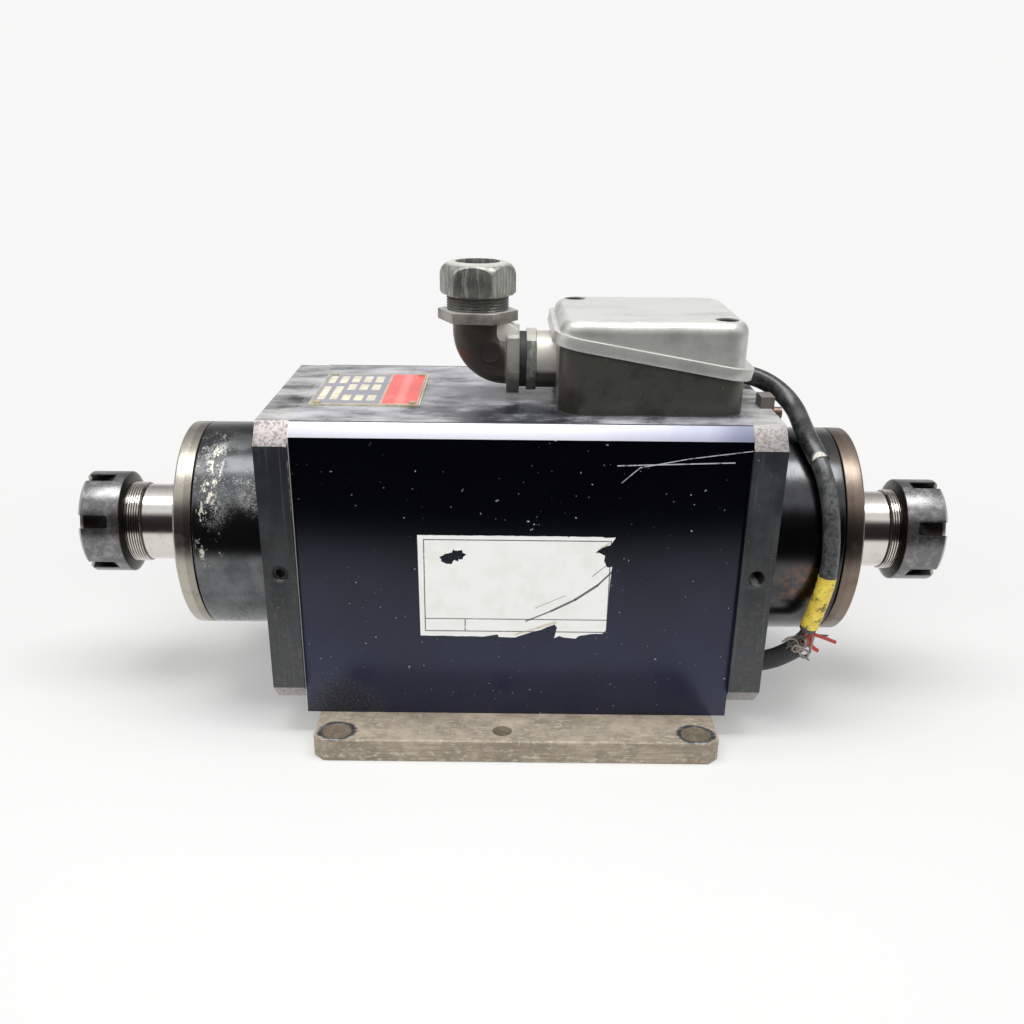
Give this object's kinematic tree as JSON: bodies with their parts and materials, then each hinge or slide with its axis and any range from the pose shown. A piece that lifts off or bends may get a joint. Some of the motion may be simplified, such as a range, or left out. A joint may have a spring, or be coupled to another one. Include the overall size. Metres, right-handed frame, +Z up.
{
  "type": "motor spindle",
  "caption": "Double-ended milling motor spindle on a flat base, with a collet nut at each end, a terminal box, an angled cable gland and coolant ports.",
  "frame": {"origin": "centre of the base plate's underside, under the middle of the motor body", "axes": "+X along the spindle axis towards the end with the leads, -Y towards the side with the coolant ports, +Z up"},
  "size_m": [0.5308, 0.23, 0.266],
  "materials": {
    "cast_alu": "cast, satin",
    "black_paint": "satin, worn",
    "navy_paint": "satin, worn",
    "base_metal": "pitted",
    "ground_steel": "ground",
    "dark_steel": "worn, blackened",
    "ring_bare": "turned, worn",
    "bolt_steel": "blackened",
    "bearing_steel": "polished",
    "core_steel": "stacked sheets",
    "copper": "bare",
    "plate_metal": "satin",
    "gland_metal": "dull",
    "seal_rubber": "matte",
    "gasket_fibre": "matte",
    "cage_plastic": "matte",
    "board_plastic": "matte",
    "lead_jacket": "satin",
    "lead_braid": "braided",
    "wire_copper": "loose strands"
  },
  "bodies": {
    "motor": {"base_plate": "base_metal", "base_screws": "bolt_steel", "box_gasket": "gasket_fibre", "box_lid": "cast_alu", "box_screws": "bolt_steel", "braid_grommet": "seal_rubber", "braided_lead": "lead_braid", "cable_clip": "black_paint", "clip_screw": "copper", "elbow_locknut": "gland_metal", "elbow_washer": "seal_rubber", "front_cover": "navy_paint", "gland_elbow": "gland_metal", "gland_seal": "seal_rubber", "jacket_gaskets": "gasket_fibre", "lead_gland": "gland_metal", "left_bearing_housing": "black_paint", "left_bearing_outer": "bearing_steel", "left_end_plate": "black_paint", "left_end_ring": "ring_bare", "left_shaft_seal": "seal_rubber", "lid_gasket": "gasket_fibre", "lid_screws": "bolt_steel", "motor_body": "black_paint", "plate_screws": "bolt_steel", "port_plug": "bolt_steel", "preload_spring": "bolt_steel", "rating_pins": "plate_metal", "rating_plate": "plate_metal", "rear_cover": "navy_paint", "right_bearing_housing": "black_paint", "right_bearing_outer": "bearing_steel", "right_end_plate": "black_paint", "right_end_ring": "ring_bare", "right_shaft_seal": "seal_rubber", "ring_screws": "bolt_steel", "sensor_lead": "lead_jacket", "stator_core": "core_steel", "stator_windings": "copper", "terminal_board": "board_plastic", "terminal_box": "cast_alu", "terminal_studs": "copper", "wire_fray": "wire_copper"},
    "spindle": {"spindle_shaft": "ground_steel", "rotor_core": "core_steel", "rotor_end_rings": "plate_metal", "left_bearing_inner": "bearing_steel", "right_bearing_inner": "bearing_steel", "left_bearing_nut": "bolt_steel", "right_bearing_nut": "bolt_steel"},
    "left_cage_set": {"left_bearing_balls": "bearing_steel", "left_bearing_cage": "cage_plastic"},
    "right_cage_set": {"right_bearing_balls": "bearing_steel", "right_bearing_cage": "cage_plastic"},
    "left_collet": {"left_collet": "ground_steel"},
    "right_collet": {"right_collet": "ground_steel"},
    "left_nut": {"left_collet_nut": "dark_steel"},
    "right_nut": {"right_collet_nut": "dark_steel"},
    "gland_ring": {"gland_thrust_ring": "gland_metal"},
    "gland_nut": {"gland_nut": "gland_metal"}
  },
  "joints": [
    {"name": "spindle_spin", "type": "hinge", "parent": "motor", "child": "spindle", "pos_m": [0, 0, 0.105], "axis": [1, 0, 0], "continuous": true},
    {"name": "left_cage_spin", "type": "hinge", "parent": "motor", "child": "left_cage_set", "pos_m": [-0.159, 0, 0.105], "axis": [1, 0, 0], "continuous": true},
    {"name": "right_cage_spin", "type": "hinge", "parent": "motor", "child": "right_cage_set", "pos_m": [0.159, 0, 0.105], "axis": [1, 0, 0], "continuous": true},
    {"name": "left_collet_draw", "type": "slide", "parent": "spindle", "child": "left_collet", "axis": [-1, 0, 0], "range_m": [-0.00341, 0.00861]},
    {"name": "right_collet_draw", "type": "slide", "parent": "spindle", "child": "right_collet", "axis": [1, 0, 0], "range_m": [0, 0.01201]},
    {"name": "left_nut_turn", "type": "hinge", "parent": "left_collet", "child": "left_nut", "pos_m": [-0.255, 0, 0.105], "axis": [-1, 0, 0], "range_deg": [-816, 2064]},
    {"name": "right_nut_turn", "type": "hinge", "parent": "right_collet", "child": "right_nut", "pos_m": [0.25, 0, 0.105], "axis": [1, 0, 0], "range_deg": [0, 2880]},
    {"name": "gland_ring_lift", "type": "slide", "parent": "motor", "child": "gland_ring", "axis": [0, 0, 1], "range_m": [0, 0.00451]},
    {"name": "gland_nut_turn", "type": "hinge", "parent": "gland_ring", "child": "gland_nut", "pos_m": [-0.025, -0.005, 0.257], "axis": [0, 0, 1], "range_deg": [0, 1080]}
  ],
  "couplings": [
    {"joint": "left_cage_spin", "follows": "spindle_spin", "ratio": 0.42414},
    {"joint": "right_cage_spin", "follows": "spindle_spin", "ratio": 0.42414},
    {"joint": "left_collet_draw", "follows": "left_nut_turn", "m_per_rad": 0.00023873},
    {"joint": "right_collet_draw", "follows": "right_nut_turn", "m_per_rad": 0.00023873},
    {"joint": "gland_ring_lift", "follows": "gland_nut_turn", "m_per_rad": 0.00023873}
  ]
}
